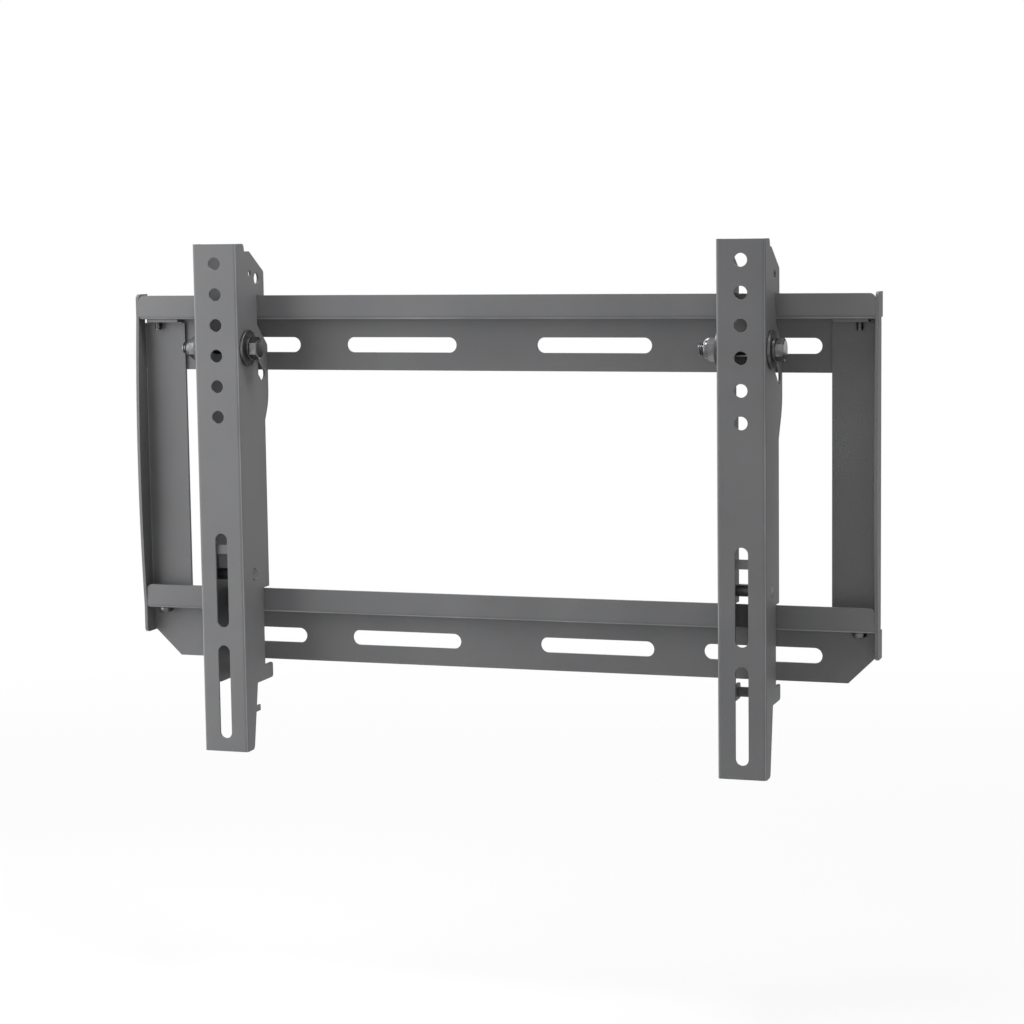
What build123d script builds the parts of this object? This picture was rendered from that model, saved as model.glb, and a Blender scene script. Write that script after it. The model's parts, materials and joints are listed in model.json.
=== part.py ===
from build123d import *
import math
import os

os.makedirs("parts", exist_ok=True)

# Wall bracket for a flat screen, in millimetres. X runs along the rails, the wall is
# the plane Y = 0 with the room on the -Y side, and Z = 0 lies midway between the rows
# of wall slots. Everything stands as pictured, with both arms upright.

# Sheet and clearances
sheet = 2.0
arm_sheet = 1.5
bend = 0.6
arm_bend = 0.5
slide_gap = 0.4
side_gap = 0.3
pin_gap = 0.3
seat_gap = 0.15
press_gap = 0.05
bolt_clearance = 0.4

# Rails: two equal Z sections with a row of wall slots
rail_length = 500.0
rail_height = 50.0
rail_depth = 14.0
lip_height = 16.0
lip_corner = 4.0
row_spacing = 196.0
row_above_edge = 16.8
wall_slot_length = 77.0
wall_slot_width = 10.0
inner_slot_x = 66.0
outer_slot_x = 176.0
corner_cut_x = 19.0
corner_cut_z = 18.4

# Side plates: a leg against the wall side, an outer flange and two screw tabs
side_leg_width = 29.0
side_tab_width = 22.0
side_tab_inset = 5.0
side_bow = 4.0
ear_rise = 0.8
ear_drop = 17.0
ear_front_corner = 3.0
ear_back_corner = 2.0
bend_relief = 1.0

# Frame screws
frame_screw_d = 5.0
frame_screw_head_d = 9.5
frame_screw_head_h = 3.6
frame_screw_dome = 1.4
frame_screw_length = 9.0
frame_screw_inset = 11.0
frame_screw_rim = 0.4
recess_length = 5.0
recess_width = 1.1
recess_depth = 1.8

# Arms: the channels that the screen is bolted to
left_arm_x = -176.9
right_arm_x = 173.6
arm_width = 31.0
arm_front = -50.5
arm_top = 165.6
arm_height = 335.3
hole_d = 8.4
hole_pitch = 20.0
hole_count = 6
first_hole_drop = 12.8
screen_slot_length = 62.5
upper_slot_drop = 189.6
slot_spacing = 74.5
nib_rise = 26.4
nib_height = 4.0
nib_reach = 6.5

# Outline of the arm's flanges, with a lobe behind the clamp bolt for its arc slot
arm_top_depth = 12.6
arm_shoulder = (-32.0, 140.0)
arm_lip_gap = 6.0
arm_web_gap = 0.5
arm_lobe_low_z = 60.0
arm_lobe_end_z = 21.0
arm_lobe_corner = 30.0
arm_foot_depth = 11.4
arm_corner = 3.0

# Tilt: the arm turns about a line in front of it, guided by a pin and a clamp bolt
tilt_range = 10.0
tilt_reach = 95.5
guide_pin_y = -32.5
guide_pin_z = -53.0
guide_pin_d = 8.0
tilt_bolt_y = -36.3
tilt_bolt_z = 97.3
tilt_bolt_d = 8.0
hex_flats = 13.0
hex_head_h = 5.3
hex_chamfer = 0.6
washer_d = 24.0
washer_h = 2.0
spring_washer_d = 14.8
spring_washer_h = 2.0
spring_slit = 1.2
spring_slit_angle = 25.0
nut_hex_h = 6.0
nut_collar_d = 11.6
nut_collar_h = 2.0
lock_ring_d = 10.2
lock_ring_h = 1.8
thread_end = 4.0
thread_chamfer = 0.8

# Hook brackets: the channels that hang on the rails inside the arms
hook_top_z = 160.5
hook_slope_start_y = -25.0
hook_slope_end_z = 146.8
hook_finger_width = 9.4
hook_front_edge_y = -44.3
hook_web_gap = 0.8
hook_web_top_z = 40.0
hook_web_low_z = -37.8
hook_window_top_z = 0.0
hook_bar = 6.0
hook_window_width = 16.0
hook_back_y = -4.8
hook_waist_top_z = 72.0
hook_waist_low_z = 54.0
hook_low_z = -127.0
hook_foot_back_y = -1.7
hook_foot_gap = 2.0
hook_low_front_y = -31.0
hook_tie_y = -8.0
hook_corner = 2.0
hook_small_hole_d = 4.3
hook_small_hole = (-24.8, 145.8)
hook_cord_hole_d = 7.8
hook_cord_hole = (-14.1, 142.4)
hook_outer_hole_d = 6.5
hook_outer_hole = (-16.0, 142.8)

# Levels that follow from the sizes above
upper_edge = row_spacing / 2 - row_above_edge
lower_edge = -row_spacing / 2 - row_above_edge
ledge_height = rail_height - lip_height
upper_ledge_under = upper_edge + ledge_height
upper_ledge_top = upper_ledge_under + sheet
upper_lip_top = upper_edge + rail_height
lower_ledge_under = lower_edge + ledge_height
lower_ledge_top = lower_ledge_under + sheet
lower_lip_top = lower_edge + rail_height
lip_front = -rail_depth
lip_back = lip_front + sheet
bend_outside = bend + sheet
frame_screw_x = rail_length / 2 - frame_screw_inset
frame_screw_y = lip_front / 2
arm_bottom = arm_top - arm_height
arm_half = arm_width / 2
hook_half = arm_half - arm_sheet - side_gap
tilt_centre = (guide_pin_y - tilt_reach, guide_pin_z)
bolt_offset = (tilt_bolt_y - tilt_centre[0], tilt_bolt_z - tilt_centre[1])
bolt_radius = math.hypot(*bolt_offset)
bolt_angle = math.degrees(math.atan2(bolt_offset[1], bolt_offset[0]))


def save(piece, label):
    piece.part.label = label
    export_step(piece.part, f"parts/{label}.step")


# Rails
def make_rail(edge, cut_corners):
    ledge_middle = edge + ledge_height + sheet / 2
    web_middle = -sheet / 2
    lip_middle = lip_front + sheet / 2
    slot_row = edge + row_above_edge
    with BuildPart() as rail:
        with BuildSketch(Plane.YZ):
            with BuildLine():
                FilletPolyline(
                    (web_middle, edge),
                    (web_middle, ledge_middle),
                    (lip_middle, ledge_middle),
                    (lip_middle, edge + rail_height),
                    radius=bend + sheet / 2,
                )
            trace(line_width=sheet)
        extrude(amount=rail_length / 2, both=True)
        lip_ends = rail.edges().filter_by(Axis.Y).group_by(Axis.Z)[-1]
        fillet(lip_ends, radius=lip_corner)
        with BuildSketch(Plane.XZ):
            with Locations(
                (-outer_slot_x, slot_row),
                (-inner_slot_x, slot_row),
                (inner_slot_x, slot_row),
                (outer_slot_x, slot_row),
            ):
                SlotOverall(wall_slot_length, wall_slot_width)
        extrude(amount=2 * sheet, both=True, mode=Mode.SUBTRACT)
        with Locations(
            (-frame_screw_x, frame_screw_y, ledge_middle + sheet),
            (frame_screw_x, frame_screw_y, ledge_middle + sheet),
        ):
            Hole(radius=(frame_screw_d + bolt_clearance) / 2, depth=2 * sheet)
        if cut_corners:
            with BuildSketch(Plane.XZ):
                with BuildLine():
                    Polyline(
                        (rail_length / 2, edge),
                        (rail_length / 2, edge + corner_cut_z),
                        (rail_length / 2 - corner_cut_x, edge),
                        close=True,
                    )
                make_face()
                mirror(about=Plane.YZ)
            extrude(amount=2 * sheet, both=True, mode=Mode.SUBTRACT)
    return rail


save(make_rail(upper_edge, False), "upper_rail")
save(make_rail(lower_edge, True), "lower_rail")


# Side plates, each folded from one sheet
def make_side_plate(side):
    inner_face = side * rail_length / 2
    leg_middle = -1.5 * sheet
    leg_low = lower_ledge_top + bend_outside
    leg_high = upper_ledge_under - bend_outside
    flange_back = -2 * sheet - bend
    ear_top = upper_lip_top + ear_rise
    ear_bottom = lower_ledge_under - ear_drop
    ear_step_high = upper_ledge_under + bend_relief
    ear_step_low = lower_ledge_top - bend_relief
    tab_start = inner_face - side * (side_tab_inset + side_tab_width)
    tab_front = lip_back + bend + side_gap
    with BuildPart() as plate:
        with BuildSketch(Plane.XY.offset(leg_low)):
            with BuildLine():
                FilletPolyline(
                    (inner_face - side * side_leg_width, leg_middle),
                    (inner_face + side * sheet / 2, leg_middle),
                    (inner_face + side * sheet / 2, lip_front),
                    radius=bend + sheet / 2,
                )
            trace(line_width=sheet)
        extrude(amount=leg_high - leg_low)
        with BuildSketch(Plane.YZ.offset(inner_face)) as flange:
            with BuildLine():
                Polyline(
                    (lip_front, ear_step_low),
                    (lip_front, ear_bottom),
                    (0, ear_bottom),
                    (0, ear_step_low),
                    (flange_back, ear_step_low),
                    (flange_back, ear_step_high),
                    (0, ear_step_high),
                    (0, ear_top),
                    (lip_front, ear_top),
                    (lip_front, ear_step_high),
                )
                ThreePointArc(
                    (lip_front, ear_step_high),
                    (lip_front - side_bow, (ear_step_high + ear_step_low) / 2),
                    (lip_front, ear_step_low),
                )
            make_face()
            ear_tops = flange.vertices().group_by(Axis.Y)[-1].sort_by(Axis.X)
            ear_feet = flange.vertices().group_by(Axis.Y)[0].sort_by(Axis.X)
            fillet([ear_tops[0], ear_feet[0]], radius=ear_front_corner)
            fillet([ear_tops[-1], ear_feet[-1]], radius=ear_back_corner)
        extrude(amount=side * sheet)
        for tab_level, leg_joint in (
            (upper_ledge_under - sheet / 2, leg_high - sheet),
            (lower_ledge_top + sheet / 2, leg_low + sheet),
        ):
            with BuildSketch(Plane.YZ.offset(tab_start)):
                with BuildLine():
                    FilletPolyline(
                        (leg_middle, leg_joint),
                        (leg_middle, tab_level),
                        (tab_front, tab_level),
                        radius=bend + sheet / 2,
                    )
                trace(line_width=sheet)
            extrude(amount=side * side_tab_width)
            with Locations((side * frame_screw_x, frame_screw_y, tab_level + sheet)):
                Hole(radius=frame_screw_d / 2 + press_gap, depth=2 * sheet)
    return plate


save(make_side_plate(-1), "left_side_plate")
save(make_side_plate(1), "right_side_plate")


# Frame screws, a pair for each rail
def make_frame_screws(seat_z, inward):
    head_top = seat_z - inward * frame_screw_head_h
    with BuildPart() as screws:
        for side in (-1, 1):
            with BuildSketch(Plane.XY.offset(seat_z)):
                with Locations((side * frame_screw_x, frame_screw_y)):
                    Circle(frame_screw_head_d / 2)
            extrude(amount=-inward * frame_screw_head_h)
        domes = screws.edges().filter_by_position(Axis.Z, head_top, head_top)
        chamfer(domes, length=frame_screw_dome)
        rims = screws.edges().filter_by_position(Axis.Z, seat_z, seat_z)
        chamfer(rims, length=frame_screw_rim)
        for side in (-1, 1):
            with BuildSketch(Plane.XY.offset(seat_z)):
                with Locations((side * frame_screw_x, frame_screw_y)):
                    Circle(frame_screw_d / 2)
            extrude(amount=inward * frame_screw_length)
            with BuildSketch(Plane.XY.offset(head_top)):
                with Locations((side * frame_screw_x, frame_screw_y)):
                    Rectangle(recess_length, recess_width)
                    Rectangle(recess_width, recess_length)
            extrude(amount=inward * recess_depth, mode=Mode.SUBTRACT)
    return screws


save(make_frame_screws(upper_ledge_top, -1), "upper_frame_screws")
save(make_frame_screws(lower_ledge_under, 1), "lower_frame_screws")


# Arms: one outline cuts both flanges of a folded channel
def make_arm(arm_x, inward):
    wall_middle = arm_half - arm_sheet / 2
    front_middle = arm_front + arm_sheet / 2
    lip_clear_y = lip_front - arm_lip_gap
    web_clear_y = -sheet - arm_web_gap
    foot_y = arm_front + arm_foot_depth
    back_y = foot_y + math.tan(math.radians(tilt_range)) * (lower_ledge_under - arm_bottom)
    outline = (
        (arm_front, arm_top),
        (arm_front + arm_top_depth, arm_top),
        arm_shoulder,
        (lip_clear_y, upper_ledge_top + sheet),
        (lip_clear_y, upper_ledge_under - sheet),
        (web_clear_y, upper_edge + row_above_edge),
        (web_clear_y, arm_lobe_low_z),
        (back_y, arm_lobe_end_z),
        (back_y, lower_ledge_under),
        (foot_y, arm_bottom),
        (arm_front, arm_bottom),
    )
    corners = [arm_corner] * len(outline)
    for square in (0, -1):
        corners[square] = 0
    for smooth in (6, 7):
        corners[smooth] = arm_lobe_corner
    with BuildPart() as arm:
        with BuildSketch(Plane.XY.offset(arm_bottom)):
            with BuildLine():
                FilletPolyline(
                    (arm_x - wall_middle, 0),
                    (arm_x - wall_middle, front_middle),
                    (arm_x + wall_middle, front_middle),
                    (arm_x + wall_middle, 0),
                    radius=arm_bend + arm_sheet / 2,
                )
            trace(line_width=arm_sheet)
        extrude(amount=arm_height)
        with BuildSketch(Plane.YZ.offset(arm_x)):
            with BuildLine():
                FilletPolyline(outline, radius=corners, close=True)
            make_face()
        extrude(amount=arm_width, both=True, mode=Mode.INTERSECT)
        with BuildSketch(Plane.XZ.offset(-arm_front)):
            for number in range(hole_count):
                with Locations((arm_x, arm_top - first_hole_drop - number * hole_pitch)):
                    Circle(hole_d / 2)
            upper_slot_z = arm_top - upper_slot_drop - screen_slot_length / 2
            with Locations((arm_x, upper_slot_z), (arm_x, upper_slot_z - slot_spacing)):
                SlotOverall(screen_slot_length, hole_d, rotation=90)
        extrude(amount=-2 * arm_sheet, mode=Mode.SUBTRACT)
        with BuildSketch(Plane.YZ.offset(arm_x)):
            with BuildLine(mode=Mode.PRIVATE) as bolt_path:
                CenterArc(tilt_centre, bolt_radius, bolt_angle - tilt_range, tilt_range)
            SlotArc(bolt_path.wire(), tilt_bolt_d + 2 * slide_gap)
            with Locations((guide_pin_y, guide_pin_z)):
                Circle(guide_pin_d / 2 + press_gap)
        extrude(amount=arm_width, both=True, mode=Mode.SUBTRACT)
        nib_z = arm_bottom + nib_rise
        nib_y = foot_y + math.tan(math.radians(tilt_range)) * nib_rise
        with BuildSketch(Plane.YZ.offset(arm_x + inward * arm_half)):
            with Locations((nib_y, nib_z)):
                Rectangle(2 * nib_reach, nib_height)
        extrude(amount=-inward * arm_sheet)
    return arm


# Hook brackets: two cheeks, a front web with a window and a tie at the foot
def make_hook_bracket(arm_x, inward):
    notch_top = upper_lip_top + slide_gap
    notch_back = lip_back + slide_gap
    notch_front = lip_front - slide_gap
    finger_end = upper_ledge_top + 2 * slide_gap
    foot_top = lower_edge - hook_foot_gap
    seat_z = lower_lip_top + slide_gap
    cheek_outline = (
        (hook_front_edge_y, hook_top_z),
        (hook_slope_start_y, hook_top_z),
        (notch_back + hook_finger_width, hook_slope_end_z),
        (notch_back + hook_finger_width, finger_end),
        (notch_back, finger_end),
        (notch_back, notch_top),
        (notch_front, notch_top),
        (notch_front, hook_waist_top_z),
        (hook_back_y, hook_waist_low_z),
        (hook_back_y, seat_z),
        (notch_front, seat_z),
        (notch_front, foot_top),
        (hook_foot_back_y, foot_top),
        (hook_foot_back_y, hook_low_z),
        (hook_low_front_y, hook_low_z),
        (hook_front_edge_y, guide_pin_z),
    )
    corners = [hook_corner] * len(cheek_outline)
    for square in (4, 5, 6, 9, 10, 11):
        corners[square] = 0
    web_front = arm_front + arm_sheet + hook_web_gap
    wall_middle = hook_half - arm_sheet / 2
    with BuildPart() as bracket:
        for side in (-1, 1):
            with BuildSketch(Plane.YZ.offset(arm_x + side * hook_half)):
                with BuildLine():
                    FilletPolyline(cheek_outline, radius=corners, close=True)
                make_face()
            extrude(amount=-side * arm_sheet)
        with BuildSketch(Plane.XY.offset(hook_web_low_z)):
            with BuildLine():
                FilletPolyline(
                    (arm_x - wall_middle, hook_front_edge_y + arm_sheet),
                    (arm_x - wall_middle, web_front + arm_sheet / 2),
                    (arm_x + wall_middle, web_front + arm_sheet / 2),
                    (arm_x + wall_middle, hook_front_edge_y + arm_sheet),
                    radius=arm_bend + arm_sheet / 2,
                )
            trace(line_width=arm_sheet)
        extrude(amount=hook_web_top_z - hook_web_low_z)
        window_height = hook_window_top_z - hook_web_low_z - hook_bar
        with BuildSketch(Plane.XZ.offset(-web_front)):
            with Locations((arm_x, hook_window_top_z - window_height / 2)):
                RectangleRounded(hook_window_width, window_height, hook_corner)
        extrude(amount=-arm_sheet, mode=Mode.SUBTRACT)
        tie_height = foot_top - hook_low_z
        with BuildSketch(Plane.XZ.offset(-hook_tie_y)):
            with Locations((arm_x, hook_low_z + tie_height / 2)):
                Rectangle(2 * hook_half - arm_sheet, tie_height - 2 * hook_corner)
        extrude(amount=arm_sheet)
        with BuildSketch(Plane.YZ.offset(arm_x)):
            with Locations((tilt_bolt_y, tilt_bolt_z)):
                Circle((tilt_bolt_d + bolt_clearance) / 2)
            with BuildLine(mode=Mode.PRIVATE) as pin_path:
                CenterArc(tilt_centre, tilt_reach, 0, tilt_range)
            SlotArc(pin_path.wire(), guide_pin_d + 2 * pin_gap)
        extrude(amount=arm_width, both=True, mode=Mode.SUBTRACT)
        with BuildSketch(Plane.YZ.offset(arm_x)):
            with Locations(hook_small_hole):
                Circle(hook_small_hole_d / 2)
            with Locations(hook_cord_hole):
                Circle(hook_cord_hole_d / 2)
        extrude(amount=inward * arm_width, mode=Mode.SUBTRACT)
        with BuildSketch(Plane.YZ.offset(arm_x)):
            with Locations(hook_outer_hole):
                Circle(hook_outer_hole_d / 2)
        extrude(amount=-inward * arm_width, mode=Mode.SUBTRACT)
    return bracket


# Guide pins, flush with the arms' flanges
def make_guide_pin(arm_x):
    with BuildPart() as pin:
        with BuildSketch(Plane.YZ.offset(arm_x)):
            with Locations((guide_pin_y, guide_pin_z)):
                Circle(guide_pin_d / 2)
        extrude(amount=arm_half, both=True)
    return pin


# Clamp bolt, its washers and the lock nut, stacked outwards from the arm's flanges
def bolt_plane(x):
    return Plane(origin=(x, tilt_bolt_y, tilt_bolt_z), x_dir=(0, 1, 0), z_dir=(1, 0, 0))


def make_tilt_bolt(head_seat_x, end_x):
    with BuildPart() as bolt:
        with BuildSketch(bolt_plane(head_seat_x)):
            RegularPolygon(hex_flats / 2, 6, major_radius=False, rotation=30)
        extrude(amount=hex_head_h)
        chamfer(bolt.faces().sort_by(Axis.X)[-1].edges(), length=hex_chamfer)
        with BuildSketch(bolt_plane(head_seat_x)):
            Circle(tilt_bolt_d / 2)
        extrude(amount=end_x - head_seat_x)
        chamfer(bolt.faces().sort_by(Axis.X)[0].edges(), length=thread_chamfer)
    return bolt


def make_plain_washers(seats):
    with BuildPart() as washers:
        for seat_x, outward in seats:
            with BuildSketch(bolt_plane(seat_x)):
                Circle(washer_d / 2)
                Circle((tilt_bolt_d + bolt_clearance) / 2, mode=Mode.SUBTRACT)
            extrude(amount=outward * washer_h)
    return washers


def make_spring_washer(seat_x):
    with BuildPart() as spring_washer:
        with BuildSketch(bolt_plane(seat_x)):
            Circle(spring_washer_d / 2)
            Circle((tilt_bolt_d + bolt_clearance) / 2, mode=Mode.SUBTRACT)
            with Locations(Location((0, spring_washer_d / 2), spring_slit_angle)):
                Rectangle(spring_slit, spring_washer_d - tilt_bolt_d, mode=Mode.SUBTRACT)
        extrude(amount=spring_washer_h)
    return spring_washer


def make_lock_nut(seat_x):
    with BuildPart() as nut:
        with BuildSketch(bolt_plane(seat_x)):
            RegularPolygon(hex_flats / 2, 6, major_radius=False, rotation=30)
        extrude(amount=-nut_hex_h)
        chamfer(nut.faces().sort_by(Axis.X)[0].edges(), length=hex_chamfer)
        with BuildSketch(bolt_plane(seat_x - nut_hex_h)):
            Circle(nut_collar_d / 2)
        extrude(amount=-nut_collar_h)
        with BuildSketch(bolt_plane(seat_x)):
            Circle(tilt_bolt_d / 2 + press_gap)
        extrude(amount=-nut_hex_h - nut_collar_h, mode=Mode.SUBTRACT)
        with BuildSketch(bolt_plane(seat_x - nut_hex_h - nut_collar_h)):
            Circle(lock_ring_d / 2 + press_gap)
        extrude(amount=lock_ring_h, mode=Mode.SUBTRACT)
    return nut


def make_lock_ring(seat_x):
    ring_end = seat_x - nut_hex_h - nut_collar_h
    with BuildPart() as ring:
        with BuildSketch(bolt_plane(ring_end)):
            Circle(lock_ring_d / 2)
            Circle(tilt_bolt_d / 2 + press_gap, mode=Mode.SUBTRACT)
        extrude(amount=lock_ring_h)
    return ring


# Both arms with what carries and clamps them
for name, arm_x, inward in (("left", left_arm_x, 1), ("right", right_arm_x, -1)):
    washer_seat = arm_x + arm_half + seat_gap
    spring_seat = washer_seat + washer_h
    head_seat = spring_seat + spring_washer_h
    far_washer_seat = arm_x - arm_half - seat_gap
    nut_seat = far_washer_seat - washer_h
    bolt_end = nut_seat - nut_hex_h - nut_collar_h - thread_end
    save(make_arm(arm_x, inward), f"{name}_tv_arm")
    save(make_hook_bracket(arm_x, inward), f"{name}_hook_bracket")
    save(make_guide_pin(arm_x), f"{name}_guide_pin")
    save(make_tilt_bolt(head_seat, bolt_end), f"{name}_tilt_bolt")
    save(make_plain_washers(((washer_seat, 1), (far_washer_seat, -1))), f"{name}_plain_washers")
    save(make_spring_washer(spring_seat), f"{name}_spring_washer")
    save(make_lock_nut(nut_seat), f"{name}_lock_nut")
    save(make_lock_ring(nut_seat), f"{name}_lock_ring")
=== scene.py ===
# %% [markdown]
# This lesson dresses a tilting wall bracket of folded steel. The measured model comes in
# first as a fixed frame that is never moved. The place and the reach of every new piece
# are taken from the frame's own boxes, so it lands where the real one would be bolted on.
# What a box can't tell, such as a thread's pitch or a chamfer, is a named size.

# %% Load the measured frame
import json
import math

import bmesh
import bpy
from mathutils import Matrix, Vector


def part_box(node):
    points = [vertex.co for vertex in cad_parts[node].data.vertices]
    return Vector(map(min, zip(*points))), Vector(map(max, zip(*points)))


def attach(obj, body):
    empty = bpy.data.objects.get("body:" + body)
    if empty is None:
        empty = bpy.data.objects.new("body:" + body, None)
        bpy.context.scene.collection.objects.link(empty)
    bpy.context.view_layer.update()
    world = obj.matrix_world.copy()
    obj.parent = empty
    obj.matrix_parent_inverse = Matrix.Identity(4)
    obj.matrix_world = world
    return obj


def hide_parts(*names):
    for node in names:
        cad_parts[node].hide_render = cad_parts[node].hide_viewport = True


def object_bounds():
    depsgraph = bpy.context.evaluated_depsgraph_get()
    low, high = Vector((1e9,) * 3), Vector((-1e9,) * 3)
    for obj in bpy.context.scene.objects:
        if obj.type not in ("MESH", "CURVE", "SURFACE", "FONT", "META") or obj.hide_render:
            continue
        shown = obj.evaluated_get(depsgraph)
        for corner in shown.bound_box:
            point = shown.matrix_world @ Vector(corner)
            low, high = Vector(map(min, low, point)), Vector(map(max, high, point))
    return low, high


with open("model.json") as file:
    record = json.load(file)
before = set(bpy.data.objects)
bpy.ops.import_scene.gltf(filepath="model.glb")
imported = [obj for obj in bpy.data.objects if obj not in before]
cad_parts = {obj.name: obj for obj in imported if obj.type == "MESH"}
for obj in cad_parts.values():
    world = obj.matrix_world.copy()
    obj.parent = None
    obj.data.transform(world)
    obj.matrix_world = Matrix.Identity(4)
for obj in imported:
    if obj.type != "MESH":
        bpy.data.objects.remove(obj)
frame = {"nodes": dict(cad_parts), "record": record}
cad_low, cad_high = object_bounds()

scene = bpy.context.scene
nodes = frame["nodes"]
record = frame["record"]
print("pieces in the frame:", len(nodes))

# %% [markdown]
# The photograph was taken from the right of the bracket and a little above its middle,
# from far enough away that the rails stay almost parallel. A camera could be aimed at a
# target with a constraint. Three plain turns say more exactly how it was held: round the
# upright axis, then down towards the bracket, then a slight roll about the line of sight.

# %% Camera
image_pixels = 1024
focal_pixels = 2605.6
sensor_mm = 36.0
camera_place = Vector((0.5387, -1.6081, 0.1803))
camera_yaw = math.radians(18.25)
camera_pitch = math.radians(6.45)
camera_roll = math.radians(0.775)
full_turn = 2.0 * math.pi
quarter_turn = full_turn / 4

camera_data = bpy.data.cameras.new("camera")
camera_data.sensor_width = sensor_mm
camera_data.lens = sensor_mm * focal_pixels / image_pixels
camera = bpy.data.objects.new("camera", camera_data)
scene.collection.objects.link(camera)
camera.matrix_world = (
    Matrix.Translation(camera_place)
    @ Matrix.Rotation(camera_yaw, 4, "Z")
    @ Matrix.Rotation(quarter_turn - camera_pitch, 4, "X")
    @ Matrix.Rotation(-camera_roll, 4, "Z")
)
scene.camera = camera
print("lens in millimetres:", round(camera_data.lens, 1))

# %% [markdown]
# A white backdrop can be had by flooding the scene with light, but that would bleach the
# coat. Here the world is plain white only to the rays that look at it, straight or by
# way of a mirror, and it lights the bracket with a softer sky of its own.

# %% White surround
sky_strength = 0.28
backdrop_strength = 1.0
sky_colour = (1.0, 1.0, 1.0, 1.0)


def add_node(tree, kind, values=None, **settings):
    node = tree.nodes.new(kind)
    for setting, value in settings.items():
        setattr(node, setting, value)
    for socket, value in (values or {}).items():
        node.inputs[socket].default_value = value
    return node


def looking_rays(tree):
    path = add_node(tree, "ShaderNodeLightPath")
    mirrored = add_node(tree, "ShaderNodeMath", operation="MAXIMUM")
    either = add_node(tree, "ShaderNodeMath", operation="MAXIMUM")
    tree.links.new(path.outputs["Is Glossy Ray"], mirrored.inputs[0])
    tree.links.new(path.outputs["Is Transmission Ray"], mirrored.inputs[1])
    tree.links.new(path.outputs["Is Camera Ray"], either.inputs[0])
    tree.links.new(mirrored.outputs[0], either.inputs[1])
    return either.outputs[0]


def background(tree, strength):
    return add_node(tree, "ShaderNodeBackground", {"Color": sky_colour, "Strength": strength})


scene.view_settings.view_transform = "Standard"
world = bpy.data.worlds.new("surround")
scene.world = world
world.use_nodes = True
sky = world.node_tree
sky.nodes.clear()
light_sky = background(sky, sky_strength)
white_sky = background(sky, backdrop_strength)
sky_mix = add_node(sky, "ShaderNodeMixShader")
sky_out = add_node(sky, "ShaderNodeOutputWorld")
sky.links.new(looking_rays(sky), sky_mix.inputs[0])
sky.links.new(light_sky.outputs[0], sky_mix.inputs[1])
sky.links.new(white_sky.outputs[0], sky_mix.inputs[2])
sky.links.new(sky_mix.outputs[0], sky_out.inputs["Surface"])
print("sky strength on the bracket:", sky_strength)

# %% [markdown]
# In the photograph the light is strongest on the left and fades towards the right. One
# tall soft lamp near the left side gives that fall-off by distance alone. A lamp beside
# the camera reaches into the holes and slots as far as the camera sees, one above the
# middle lights the cheeks that face each other, a narrow strip on the right picks out the
# bends, and one behind serves the views of the wall side.

# %% Soft lamps
aim = Vector((0.0, 0.0, 0.0))


def add_lamp(name, place, width, height, watts):
    data = bpy.data.lights.new(name, "AREA")
    data.shape = "RECTANGLE"
    data.size = width
    data.size_y = height
    data.energy = watts
    lamp = bpy.data.objects.new(name, data)
    scene.collection.objects.link(lamp)
    toward = aim - Vector(place)
    turn = toward.to_track_quat("-Z", "Y").to_matrix().to_4x4()
    lamp.matrix_world = Matrix.Translation(place) @ turn
    print(name, watts, "watts at", round(toward.length, 2), "metres")


add_lamp("key_lamp", place=(-0.55, -0.33, 0.15), width=0.5, height=0.8, watts=5.0)
add_lamp("front_lamp", place=(0.54, -1.62, 0.22), width=0.3, height=0.3, watts=3.6)
add_lamp("top_lamp", place=(0.12, -0.14, 0.75), width=0.25, height=0.25, watts=4.5)
add_lamp("strip_lamp", place=(1.6, -0.35, 0.1), width=0.05, height=0.9, watts=4.0)
add_lamp("wall_side_lamp", place=(-0.4, 1.6, 0.9), width=1.0, height=1.0, watts=12.0)

# %% [markdown]
# The bracket hangs on a wall, so the floor lies well below it. A plane object could be
# added from the menu and scaled.

# %% Floor
floor_drop = 0.16
floor_half = 6.0
floor_level = cad_low.z - floor_drop

floor_bm = bmesh.new()
bmesh.ops.create_grid(floor_bm, x_segments=1, y_segments=1, size=floor_half)
bmesh.ops.translate(floor_bm, verts=floor_bm.verts, vec=(0.0, 0.0, floor_level))
floor_mesh = bpy.data.meshes.new("floor")
floor_bm.to_mesh(floor_mesh)
floor_bm.free()
floor = bpy.data.objects.new("floor", floor_mesh)
scene.collection.objects.link(floor)
print("floor level:", round(floor_level, 3))

# %% [markdown]
# A plain matt floor would show a grey edge against the white surround. Near the bracket
# this one takes a faint shadow. Further out it fades to the white of the surround, and
# only for the rays that look at it, so it still throws soft light back up.

# %% Pale floor paint
floor_white = (0.86, 0.86, 0.86, 1.0)
shadow_share = 0.25
fade_radius = 1.4

floor_paint = bpy.data.materials.new("floor_paint")
floor_paint.use_nodes = True
paint = floor_paint.node_tree
paint.nodes.clear()
where = add_node(paint, "ShaderNodeTexCoord")
reach = add_node(paint, "ShaderNodeVectorMath", operation="LENGTH")
fade_limits = {"From Min": 0.0, "From Max": fade_radius, "To Min": 1.0 - shadow_share, "To Max": 1.0}
fade = add_node(paint, "ShaderNodeMapRange", fade_limits)
shown = add_node(paint, "ShaderNodeMath", operation="MULTIPLY")
matt = add_node(paint, "ShaderNodeBsdfDiffuse", {"Color": floor_white})
white = add_node(paint, "ShaderNodeEmission", {"Strength": backdrop_strength})
floor_mix = add_node(paint, "ShaderNodeMixShader")
floor_out = add_node(paint, "ShaderNodeOutputMaterial")
paint.links.new(where.outputs["Object"], reach.inputs[0])
paint.links.new(reach.outputs["Value"], fade.inputs["Value"])
paint.links.new(fade.outputs["Result"], shown.inputs[0])
paint.links.new(looking_rays(paint), shown.inputs[1])
paint.links.new(shown.outputs[0], floor_mix.inputs[0])
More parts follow.
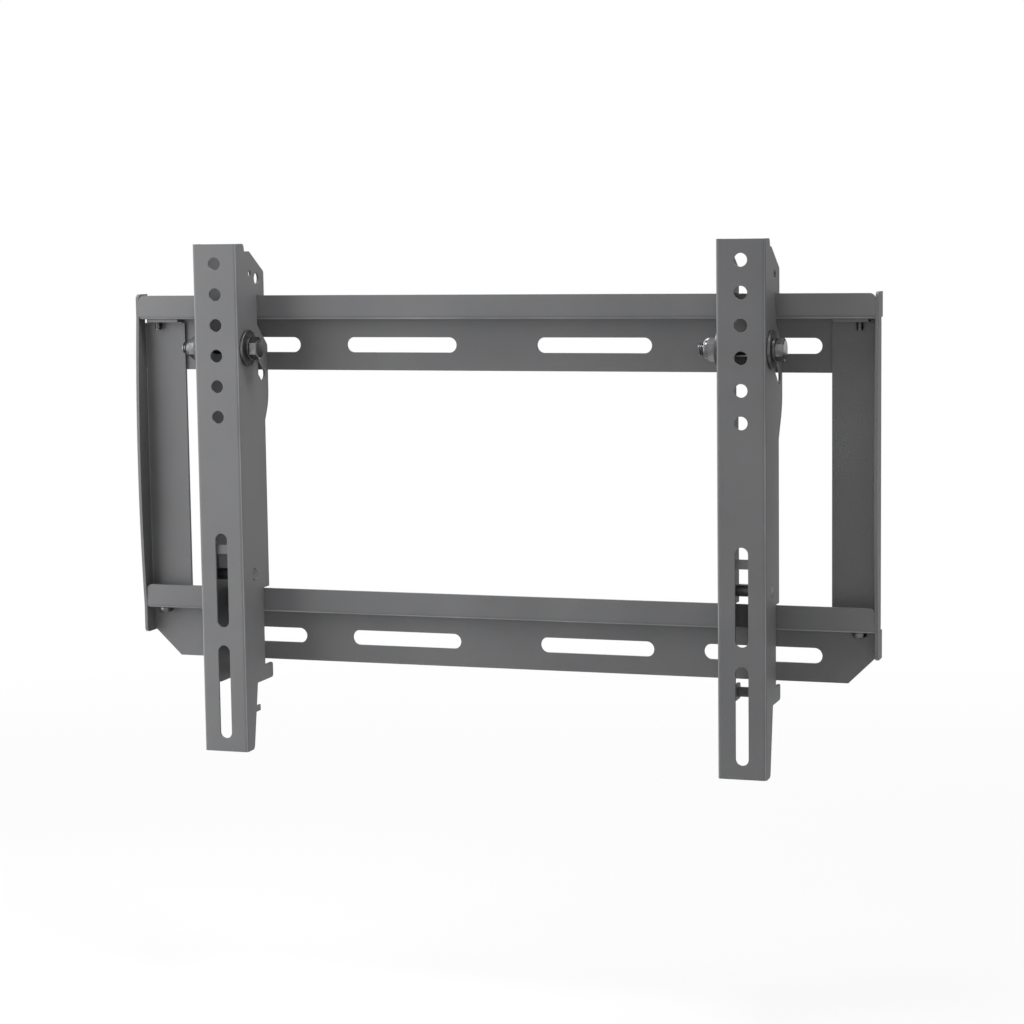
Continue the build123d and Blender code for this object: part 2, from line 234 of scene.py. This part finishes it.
paint.links.new(matt.outputs[0], floor_mix.inputs[1])
paint.links.new(white.outputs[0], floor_mix.inputs[2])
paint.links.new(floor_mix.outputs[0], floor_out.inputs["Surface"])
floor_mesh.materials.append(floor_paint)
print("floor fades to white at", fade_radius, "metres")

# %% [markdown]
# A finish could be painted as an image, but an image has to be wrapped round each piece
# and shows its pixels close up. Here every finish is worked out from noise in the space of
# the object, so its grain has the same size on all pieces. The helpers below make what
# the finishes share: a noise, a change of range, a ramp of tones and a bump.

# %% Parts of a finish
noise_low = 0.3
noise_high = 0.7
finishes = {}


def new_finish(name):
    finish = bpy.data.materials.new(name)
    finish.use_nodes = True
    finishes[name] = finish
    tree = finish.node_tree
    return tree, tree.nodes["Principled BSDF"]


def object_noise(tree, scale, detail):
    where = add_node(tree, "ShaderNodeTexCoord")
    noise = add_node(tree, "ShaderNodeTexNoise", {"Scale": scale, "Detail": detail})
    tree.links.new(where.outputs["Object"], noise.inputs["Vector"])
    return noise.outputs["Fac"]


def spread(tree, value, low, high, to_low, to_high):
    limits = {"From Min": low, "From Max": high, "To Min": to_low, "To Max": to_high}
    spreader = add_node(tree, "ShaderNodeMapRange", limits)
    tree.links.new(value, spreader.inputs["Value"])
    return spreader.outputs["Result"]


def tone_ramp(tree, value, stops):
    ramp = add_node(tree, "ShaderNodeValToRGB")
    while len(ramp.color_ramp.elements) < len(stops):
        ramp.color_ramp.elements.new(1.0)
    for element, (place, colour) in zip(ramp.color_ramp.elements, stops):
        element.position = place
        element.color = colour
    tree.links.new(value, ramp.inputs["Fac"])
    return ramp.outputs["Color"]


def bumped(tree, height, strength, depth, normal=None):
    bump = add_node(tree, "ShaderNodeBump", {"Strength": strength, "Distance": depth})
    tree.links.new(height, bump.inputs["Height"])
    if normal is not None:
        tree.links.new(normal, bump.inputs["Normal"])
    return bump.outputs["Normal"]


print("noise is read from", noise_low, "to", noise_high)

# %% [markdown]
# A coat draws thin along sheared edges, which wear to pale lines. The bends are given a pale
# colour too, as a painted highlight that stands in for the light they catch. The edges could
# be bevelled in the mesh, but the sheets carry many holes. A Bevel node rounds the shading
# instead, and where it turns the normal it also tells the colour that an edge is near. The
# bends are found by their normals: a flat of a folded sheet faces along one axis of the
# piece, and a bend faces between two of them.

# %% Edges and bends
edge_radius = 0.0004
edge_samples = 6
edge_turned = 0.75
edge_flat = 0.99
bend_turned = 0.72
bend_flat = 0.92


def rounded_edges(tree):
    bevel = add_node(tree, "ShaderNodeBevel", {"Radius": edge_radius}, samples=edge_samples)
    surface = add_node(tree, "ShaderNodeNewGeometry")
    agree = add_node(tree, "ShaderNodeVectorMath", operation="DOT_PRODUCT")
    tree.links.new(bevel.outputs["Normal"], agree.inputs[0])
    tree.links.new(surface.outputs["True Normal"], agree.inputs[1])
    edge = spread(tree, agree.outputs["Value"], edge_turned, edge_flat, 1.0, 0.0)
    return bevel.outputs["Normal"], edge


# mask of the bends, where the coat's colour gets a painted highlight
def painted_bend_mask(tree):
    where = add_node(tree, "ShaderNodeTexCoord")
    size = add_node(tree, "ShaderNodeVectorMath", operation="ABSOLUTE")
    parts = add_node(tree, "ShaderNodeSeparateXYZ")
    larger = add_node(tree, "ShaderNodeMath", operation="MAXIMUM")
    largest = add_node(tree, "ShaderNodeMath", operation="MAXIMUM")
    tree.links.new(where.outputs["Normal"], size.inputs[0])
    tree.links.new(size.outputs[0], parts.inputs[0])
    tree.links.new(parts.outputs["X"], larger.inputs[0])
    tree.links.new(parts.outputs["Y"], larger.inputs[1])
    tree.links.new(larger.outputs[0], largest.inputs[0])
    tree.links.new(parts.outputs["Z"], largest.inputs[1])
    return spread(tree, largest.outputs[0], bend_turned, bend_flat, 1.0, 0.0)


print("edges are shaded round to", edge_radius, "metres")

# %% [markdown]
# The folded sheets are coated with dark grey powder that was melted on in an oven. Such a
# coat is a dull satin, slightly uneven in tone, with an orange peel from its flow and a
# finer grain in it. One flat colour would look like bare plastic, so clouds vary the tone
# and the roughness, two bumps of different size make the skin, and the pale wear of edges
# and a painted highlight along the bends are added on top.

# %% Powder coat
coat_dark = (0.110, 0.111, 0.114, 1.0)
coat_light = (0.132, 0.133, 0.136, 1.0)
# pale tone, shared by the worn edges and the painted highlight along the bends
coat_worn_edge_and_bend_highlight = (0.30, 0.30, 0.305, 1.0)
coat_sheen = 0.25
coat_smooth = 0.54
coat_rough = 0.64
cloud_scale = 14.0
cloud_detail = 3.0
cloud_share = 0.4
sheen_detail = 4.0
edge_wear = 0.15
# share of the painted highlight along the bends, which stands in for the light they catch
bend_highlight_share = 0.6
peel_scale = 520.0
peel_strength = 0.40
peel_depth = 0.0002
grain_scale = 1900.0
grain_strength = 0.50
grain_depth = 0.0001
skin_detail = 2.0


# adds a pale mark to the tone: real wear at the edges, and the painted highlight at the bends
def wear_and_highlight_tone(tree, pale_mark, share, tone):
    total = add_node(tree, "ShaderNodeMath", {1: share}, operation="MULTIPLY_ADD")
    tree.links.new(pale_mark, total.inputs[0])
    tree.links.new(tone, total.inputs[2])
    return total.outputs[0]


def make_powder_coat():
    tree, shader = new_finish("powder_coat")
    shader.inputs["Specular IOR Level"].default_value = coat_sheen
    soft_normal, edge = rounded_edges(tree)
    clouds = object_noise(tree, cloud_scale, cloud_detail)
    cloud_tone = spread(tree, clouds, noise_low, noise_high, 0.0, cloud_share)
    edge_tone = wear_and_highlight_tone(tree, edge, edge_wear, cloud_tone)
    # the bends get a painted highlight on top of the edge wear
    tone = wear_and_highlight_tone(tree, painted_bend_mask(tree), bend_highlight_share, edge_tone)
    stops = ((0.0, coat_dark), (cloud_share, coat_light), (1.0, coat_worn_edge_and_bend_highlight))
    tree.links.new(tone_ramp(tree, tone, stops), shader.inputs["Base Color"])
    peel_noise = object_noise(tree, peel_scale, skin_detail)
    peel = bumped(tree, peel_noise, peel_strength, peel_depth, soft_normal)
    grain_noise = object_noise(tree, grain_scale, skin_detail)
    grain = bumped(tree, grain_noise, grain_strength, grain_depth, peel)
    tree.links.new(grain, shader.inputs["Normal"])
    sheen_clouds = object_noise(tree, cloud_scale, sheen_detail)
    rough = spread(tree, sheen_clouds, noise_low, noise_high, coat_smooth, coat_rough)
    tree.links.new(rough, shader.inputs["Roughness"])


make_powder_coat()
print("finishes:", list(finishes))

# %% [markdown]
# The bolts and nuts are plated with zinc, which mirrors its surroundings with a faint
# bluish cast. The washers and pins are plated too, but duller and darker, and the small
# screws of the frame are blackened. All of them show fine crystals and rubbed patches, so
# one recipe serves, with tones, roughness and depth of grain of their own.

# %% Zinc and blackened steel
crystal_scale = 1500.0
crystal_detail = 3.0
crystal_depth = 0.00004
patch_scale = 160.0
patch_detail = 4.0
patch_low = 0.35
patch_high = 0.65


def make_plated(name, dull, clean, smooth, rough, bump):
    tree, shader = new_finish(name)
    shader.inputs["Metallic"].default_value = 1.0
    patch = object_noise(tree, patch_scale, patch_detail)
    colour = tone_ramp(tree, patch, ((patch_low, dull), (patch_high, clean)))
    tree.links.new(colour, shader.inputs["Base Color"])
    sheen = spread(tree, patch, noise_low, noise_high, rough, smooth)
    tree.links.new(sheen, shader.inputs["Roughness"])
    crystals = object_noise(tree, crystal_scale, crystal_detail)
    tree.links.new(bumped(tree, crystals, bump, crystal_depth), shader.inputs["Normal"])


make_plated(
    "bright_zinc",
    dull=(0.08, 0.08, 0.083, 1.0),
    clean=(0.17, 0.17, 0.175, 1.0),
    smooth=0.22,
    rough=0.36,
    bump=0.15,
)
make_plated(
    "dark_zinc",
    dull=(0.060, 0.060, 0.062, 1.0),
    clean=(0.115, 0.115, 0.118, 1.0),
    smooth=0.40,
    rough=0.55,
    bump=0.25,
)
make_plated(
    "black_screw",
    dull=(0.07, 0.07, 0.072, 1.0),
    clean=(0.13, 0.13, 0.133, 1.0),
    smooth=0.28,
    rough=0.42,
    bump=0.2,
)
print("finishes:", list(finishes))

# %% [markdown]
# The locking ring in each nut is natural nylon. It is a milky plastic that lets light a
# little way in, so a touch of subsurface scattering keeps it from looking like paint.

# %% Nylon
nylon_pale = (0.74, 0.73, 0.68, 1.0)
nylon_deep = (0.66, 0.65, 0.60, 1.0)
nylon_glow = 0.4
nylon_depth = 0.001
nylon_smooth = 0.42
nylon_rough = 0.52
nylon_detail = 2.0
scuff_strength = 0.1
scuff_depth = 0.00005


def make_nylon():
    tree, shader = new_finish("nylon")
    shader.inputs["Subsurface Weight"].default_value = nylon_glow
    shader.inputs["Subsurface Scale"].default_value = nylon_depth
    cloud = object_noise(tree, patch_scale, nylon_detail)
    colour = tone_ramp(tree, cloud, ((patch_low, nylon_deep), (patch_high, nylon_pale)))
    tree.links.new(colour, shader.inputs["Base Color"])
    rough = spread(tree, cloud, noise_low, noise_high, nylon_smooth, nylon_rough)
    tree.links.new(rough, shader.inputs["Roughness"])
    scuffs = object_noise(tree, crystal_scale, nylon_detail)
    scuffed = bumped(tree, scuffs, scuff_strength, scuff_depth)
    tree.links.new(scuffed, shader.inputs["Normal"])


make_nylon()
print("finishes:", list(finishes))

# %% [markdown]
# The record that comes with the frame names a finish for each piece. The folded sheets and
# the nylon rings keep the frame's own shape, so with their finish they are done. Finishes
# could be set piece by piece, but a loop over the record can't miss one.

# %% Finish the pieces of the frame
slot_of = {subpart["node"]: subpart["material_slot"] for subpart in record["subparts"]}
for name, finish_name in slot_of.items():
    materials = nodes[name].data.materials
    materials.clear()
    materials.append(finishes[finish_name])
print("finished pieces:", len(slot_of))

# %% [markdown]
# The next cells make the fasteners. The real ones are turned or rolled round an axis, so
# half of the outline is drawn here as a few points, each a radius and a height, and a spin
# carries it round. A ready-made cylinder would have no chamfer, face or collar to shape.
# After a spin the doubles are merged, and only then are the normals turned outwards.

# %% Turning
mm = 0.001
turn_steps = 48
weld = 0.002 * mm
upright = (0.0, 0.0, 1.0)
centre = (0.0, 0.0, 0.0)


def draw_outline(bm, points):
    corners = [bm.verts.new((radius, 0.0, height)) for radius, height in points]
    lines = [bm.edges.new(pair) for pair in zip(corners, corners[1:])]
    return corners + lines


def close_up(bm):
    bmesh.ops.remove_doubles(bm, verts=bm.verts, dist=weld)
    bmesh.ops.recalc_face_normals(bm, faces=bm.faces)
    return bm


def turned(*outlines):
    bm = bmesh.new()
    drawn = [part for points in outlines for part in draw_outline(bm, points)]
    bmesh.ops.spin(
        bm, geom=drawn, cent=centre, axis=upright, angle=full_turn, steps=turn_steps, use_merge=True
    )
    return close_up(bm)


print("steps in a full turn:", turn_steps)

# %% [markdown]
# A finished fastener takes the place of its plain twin in the frame. It rides on the body
# that the twin belongs to, so it moves with it, and it keeps the twin's finish. Faces that
# meet at a small angle are shaded as one smooth skin, and sharper edges stay crisp. The
# place goes into the mesh, so the object itself stays at the origin.

# %% Placing
crease = math.radians(25.0)
body_of = {node: body for body, group in record["behaviour"]["bodies"].items() for node in group}


def box_middle(low, high):
    return (low + high) / 2


def along_x(seat, direction, low, high):
    middle = box_middle(low, high)
    place = Vector((seat, middle.y, middle.z))
    return Matrix.Translation(place) @ Matrix.Rotation(direction * quarter_turn, 4, "Y")


def add_piece(bm, node, place):
    bmesh.ops.transform(bm, matrix=place, verts=bm.verts)
    for face in bm.faces:
        face.smooth = True
    for edge in bm.edges:
        edge.smooth = edge.calc_face_angle(0.0) < crease
    name = node + "_detailed"
    mesh = bpy.data.meshes.new(name)
    bm.to_mesh(mesh)
    bm.free()
    mesh.materials.append(finishes[slot_of[node]])
    piece = bpy.data.objects.new(name, mesh)
    scene.collection.objects.link(piece)
    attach(piece, body_of[node])
    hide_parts(node)
    print(name, len(mesh.polygons), "faces, rides on", body_of[node])


print("bodies:", sorted(set(body_of.values())))

# %% [markdown]
# A rolled thread is one ridge wound round and round. The section of a single ridge is
# drawn once and spun with a small rise at each step, so that each turn meets the next
# and the doubles merge into one skin. The wound skin starts and ends ragged, so it is
# made longer than needed, and two flat cuts bring it to length and close it. Its first
# turn is drawn in to a cone, as on the real tip, which has to find its nut.

# %% Thread
thread_depth_share = 0.61
flank_start = 1 / 4
crest_start = 9 / 16
crest_end = 11 / 16
spare_turns = 1.5


def trim(bm, point, facing):
    everything = bm.verts[:] + bm.edges[:] + bm.faces[:]
    cut = bmesh.ops.bisect_plane(
        bm, geom=everything, plane_co=point, plane_no=facing, clear_outer=True
    )
    rim = [part for part in cut["geom_cut"] if isinstance(part, bmesh.types.BMEdge)]
    bmesh.ops.edgeloop_fill(bm, edges=rim)


def draw_in_tip(bm, root, tip):
    for vert in bm.verts:
        room = root + vert.co.z - tip
        if vert.co.xy.length > room:
            vert.co.xy *= room / vert.co.xy.length


def wound_thread(radius, pitch, low, high):
    root = radius - thread_depth_share * pitch
    start = low - spare_turns * pitch
    ridge = (
        (root, start),
        (root, start + flank_start * pitch),
        (radius, start + crest_start * pitch),
        (radius, start + crest_end * pitch),
        (root, start + pitch),
    )
    turns = math.ceil((high - low) / pitch + 2 * spare_turns)
    bm = bmesh.new()
    bmesh.ops.spin(
        bm, geom=draw_outline(bm, ridge), cent=centre, axis=upright,
        dvec=(0.0, 0.0, pitch / turn_steps), angle=full_turn * turns, steps=turns * turn_steps,
    )
    bmesh.ops.remove_doubles(bm, verts=bm.verts, dist=weld)
    for level, facing in ((low, -1.0), (high, 1.0)):
        trim(bm, (0.0, 0.0, level), (0.0, 0.0, facing))
    draw_in_tip(bm, root, low)
    return close_up(bm)


def add_shell(bm, other):
    passing = bpy.data.meshes.new("passing")
    other.to_mesh(passing)
    other.free()
    bm.from_mesh(passing)
    bpy.data.meshes.remove(passing)


print("thread depth as a share of its pitch:", thread_depth_share)

# %% [markdown]
# Each arm is clamped by a hex bolt. Its head is forged, with a round washer face below and
# a chamfer that rounds off the six corners on top. The head is turned as a round blank
# first and six flats are then cut from it, as on a milling machine, because the chamfer
# then gives each flat its curved upper edge by itself. The bolt's place, its length and
# its width across the flats come from the frame's box for it.

# %% Clamp bolts
bolt_radius = 4.0 * mm
bolt_pitch = 1.25 * mm
bolt_thread_length = 22.0 * mm
head_height = 5.3 * mm
blank_radius = 7.8 * mm
hex_sides = 6
hex_face_radius = 6.1 * mm
hex_chamfer_angle = math.radians(30.0)
hex_chamfer = (blank_radius - hex_face_radius) * math.tan(hex_chamfer_angle)
washer_face_height = 0.4 * mm
thread_skin = 0.06 * mm
run_out = 0.6 * mm


def mill_flats(bm, across):
    for flat in range(hex_sides):
        turn = (flat + 0.5) * full_turn / hex_sides
        facing = Vector((math.cos(turn), math.sin(turn), 0.0))
        trim(bm, facing * across / 2, facing)


def add_bolt(node):
    low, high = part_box(node)
    seat = high.x - head_height
    tip = low.x - seat
    smooth_end = tip + bolt_thread_length
    bm = turned((
        (0.0, head_height),
        (hex_face_radius, head_height),
        (blank_radius, head_height - hex_chamfer),
        (blank_radius, washer_face_height),
        (hex_face_radius, washer_face_height),
        (hex_face_radius, 0.0),
        (bolt_radius, 0.0),
        (bolt_radius, smooth_end),
        (0.0, smooth_end),
    ))
    mill_flats(bm, high.y - low.y)
    close_up(bm)
    add_shell(bm, wound_thread(bolt_radius - thread_skin, bolt_pitch, tip, smooth_end + run_out))
    add_piece(bm, node, along_x(seat, 1, low, high))


both_arms = ("left", "right")
for arm in both_arms:
    add_bolt(arm + "_tilt_bolt")

# %% [markdown]
# The nuts are locking nuts: a hex body with a thin round collar that holds a nylon ring.
# The outline runs all the way round the nut's wall and comes back to its first point, so
# one spin gives the bore, the countersink, the collar and the pocket for the ring.

# %% Lock nuts
bore_radius = 4.1 * mm
countersink = 0.5 * mm
nut_hex_height = 6.0 * mm
collar_radius = 5.8 * mm
collar_round = 0.5 * mm
pocket_radius = 5.15 * mm
pocket_depth = 1.8 * mm


def eased_corner(radius, height, ease):
    third = ease / 3
    return (radius, height - ease), (radius - third, height - third), (radius - ease, height)


def add_nut(node):
    low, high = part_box(node)
    end = high.x - low.x
    bm = turned((
        (bore_radius, countersink),
        (bore_radius + countersink, 0.0),
        (hex_face_radius, 0.0),
        (blank_radius, hex_chamfer),
        (blank_radius, nut_hex_height - hex_chamfer),
        (hex_face_radius, nut_hex_height),
        (collar_radius, nut_hex_height),
        *eased_corner(collar_radius, end, collar_round),
        (pocket_radius, end),
        (pocket_radius, end - pocket_depth),
        (bore_radius, end - pocket_depth),
        (bore_radius, countersink),
    ))
    mill_flats(bm, high.y - low.y)
    add_piece(close_up(bm), node, along_x(high.x, -1, low, high))


for arm in both_arms:
    add_nut(arm + "_lock_nut")

# %% [markdown]
# Two plain washers spread the clamp's load over each arm's cheeks. They are punched from
# strip, which rolls the outer edge over a little. Both rings are drawn before one spin,
# since they are a single piece in the frame and lie on the same axis.

# %% Plain washers
washer_clearance = 0.2 * mm
washer_hole = bolt_radius + washer_clearance
washer_height = 2.0 * mm
washer_edge = 0.35 * mm


def washer_outline(radius, base):
    top = base + washer_height
    return (
        (washer_hole, base),
        (radius - washer_edge, base),
        (radius, base + washer_edge),
        *eased_corner(radius, top, washer_edge),
        (washer_hole, top),
        (washer_hole, base),
    )


def add_washers(node):
    low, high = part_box(node)
    radius = (high.y - low.y) / 2
    far_base = high.x - low.x - washer_height
    bm = turned(washer_outline(radius, 0.0), washer_outline(radius, far_base))
    add_piece(bm, node, along_x(low.x, 1, low, high))


for arm in both_arms:
    add_washers(arm + "_plain_washers")

# %% [markdown]
# A spring washer is a single coil of square wire, cut through and sprung out of flat. It
# is spun like the rest, but stops short of a full turn and rises a little on the way. The
# two open ends are then filled. It is slightly thinner than its frame's box, so that the
# rise stays inside it.

# %% Spring washers
spring_rise = 0.25 * mm
spring_slit = 1.2 * mm
spring_edge = 0.25 * mm


def add_spring_washer(node):
    low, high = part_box(node)
    radius = (high.y - low.y) / 2
    top = high.x - low.x - spring_rise
    section = (
        (washer_hole, 0.0),
        (radius - spring_edge, 0.0),
        (radius, spring_edge),
        (radius, top - spring_edge),
        (radius - spring_edge, top),
        (washer_hole, top),
        (washer_hole, 0.0),
    )
    mean_radius = (radius + washer_hole) / 2
    slit_angle = spring_slit / mean_radius
    bm = bmesh.new()
    bmesh.ops.spin(
        bm, geom=draw_outline(bm, section), cent=centre, axis=upright,
        dvec=(0.0, 0.0, spring_rise / turn_steps), angle=full_turn - slit_angle, steps=turn_steps,
    )
    bmesh.ops.remove_doubles(bm, verts=bm.verts, dist=weld)
    bmesh.ops.edgeloop_fill(bm, edges=[edge for edge in bm.edges if edge.is_boundary])
    slit_place = Matrix.Rotation(math.pi + slit_angle / 2, 4, "Z")
    add_piece(close_up(bm), node, along_x(low.x, 1, low, high) @ slit_place)


for arm in both_arms:
    add_spring_washer(arm + "_spring_washer")

# %% [markdown]
# A guide pin is pressed through the cheeks of each arm and rides in the hook bracket's arc
# slot. It is a plain ground pin, cut to length and chamfered at both ends, so that a
# fine ring of shadow parts it from the cheek.

# %% Guide pins
pin_chamfer = 0.5 * mm


def add_pin(node):
    low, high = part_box(node)
    radius = (high.y - low.y) / 2
    length = high.x - low.x
    bm = turned((
        (0.0, length),
        (radius - pin_chamfer, length),
        (radius, length - pin_chamfer),
        (radius, pin_chamfer),
        (radius - pin_chamfer, 0.0),
        (0.0, 0.0),
    ))
    add_piece(bm, node, along_x(low.x, 1, low, high))


for arm in both_arms:
    add_pin(arm + "_guide_pin")

# %% [markdown]
# Small pan head screws hold the frame's corners together. The dome is an arc in the
# outline. The cross recess is pressed in: a twelve-cornered loop is drawn in the flat of
# the dome, the flat is filled round it, and the loop is carried down and drawn in, as the
# tapered punch leaves it. A boolean cut could do it too, but needs a punch of its own.

# %% Screw heads
screw_radius = 2.5 * mm
screw_head_radius = 4.75 * mm
screw_head_height = 3.6 * mm
dome_round = 1.9 * mm
dome_steps = 6
rim_chamfer = 0.3 * mm
neck_length = 0.8 * mm
recess_wings = 4
recess_half = 2.5 * mm
recess_wing = 0.55 * mm
recess_depth = 1.8 * mm
recess_taper = 0.55


def dome_arc():
    middle_radius = screw_head_radius - dome_round
    middle_height = screw_head_height - dome_round
    for step in range(dome_steps + 1):
        angle = quarter_turn * step / dome_steps
        yield middle_radius + dome_round * math.cos(angle), middle_height + dome_round * math.sin(angle)


def press_recess(bm):
    rim = [edge for edge in bm.edges if edge.is_boundary]
    wing_corners = ((recess_half, -recess_wing), (recess_half, recess_wing), (recess_wing, recess_wing))
    corners = []
    for wing in range(recess_wings):
        turn = Matrix.Rotation(wing * quarter_turn, 4, "Z")
        for across, beside in wing_corners:
            corners.append(bm.verts.new(turn @ Vector((across, beside, screw_head_height))))
    loop = [bm.edges.new(pair) for pair in zip(corners, corners[1:] + corners[:1])]
    bmesh.ops.triangle_fill(bm, edges=rim + loop, use_beauty=True)
    walls = bmesh.ops.extrude_edge_only(bm, edges=loop)["geom"]
    foot = [part for part in walls if isinstance(part, bmesh.types.BMVert)]
    foot_edges = [part for part in walls if isinstance(part, bmesh.types.BMEdge) and part.is_boundary]
    bmesh.ops.scale(bm, vec=(recess_taper, recess_taper, 1.0), verts=foot)
    bmesh.ops.translate(bm, vec=(0.0, 0.0, -recess_depth), verts=foot)
    bmesh.ops.edgeloop_fill(bm, edges=foot_edges)


def screw_head():
    outline = [
        (0.0, -neck_length),
        (screw_radius, -neck_length),
        (screw_radius, 0.0),
        (screw_head_radius - rim_chamfer, 0.0),
        (screw_head_radius, rim_chamfer),
    ]
    bm = turned(outline + list(dome_arc()))
    press_recess(bm)
    return close_up(bm)


print("steps in the arc of a screw's dome:", dome_steps)

# %% [markdown]
# Each rail has a screw near both ends. A pair is one piece in the frame, so the second
# screw is a moved copy of the first. The upper pair goes in from above and the lower pair
# from below, which is the same screw turned over.

# %% Frame screws
screw_pitch = 0.8 * mm


def add_screws(node, head_up):
    low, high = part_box(node)
    tip = screw_head_height - (high.z - low.z)
    bm = screw_head()
    add_shell(bm, wound_thread(screw_radius - thread_skin, screw_pitch, tip, run_out - neck_length))
    spacing = high.x - low.x - 2 * screw_head_radius
    copied = bmesh.ops.duplicate(bm, geom=bm.verts[:] + bm.edges[:] + bm.faces[:])["geom"]
    second = [part for part in copied if isinstance(part, bmesh.types.BMVert)]
    bmesh.ops.translate(bm, vec=(spacing, 0.0, 0.0), verts=second)
    middle = box_middle(low, high)
    seat = high.z - screw_head_height if head_up else low.z + screw_head_height
    place = Matrix.Translation((low.x + screw_head_radius, middle.y, seat))
    turn = Matrix.Rotation(0.0 if head_up else math.pi, 4, "X")
    add_piece(bm, node, place @ turn)


add_screws("upper_frame_screws", head_up=True)
add_screws("lower_frame_screws", head_up=False)

print("measured size in metres:", [round(side, 4) for side in cad_high - cad_low])
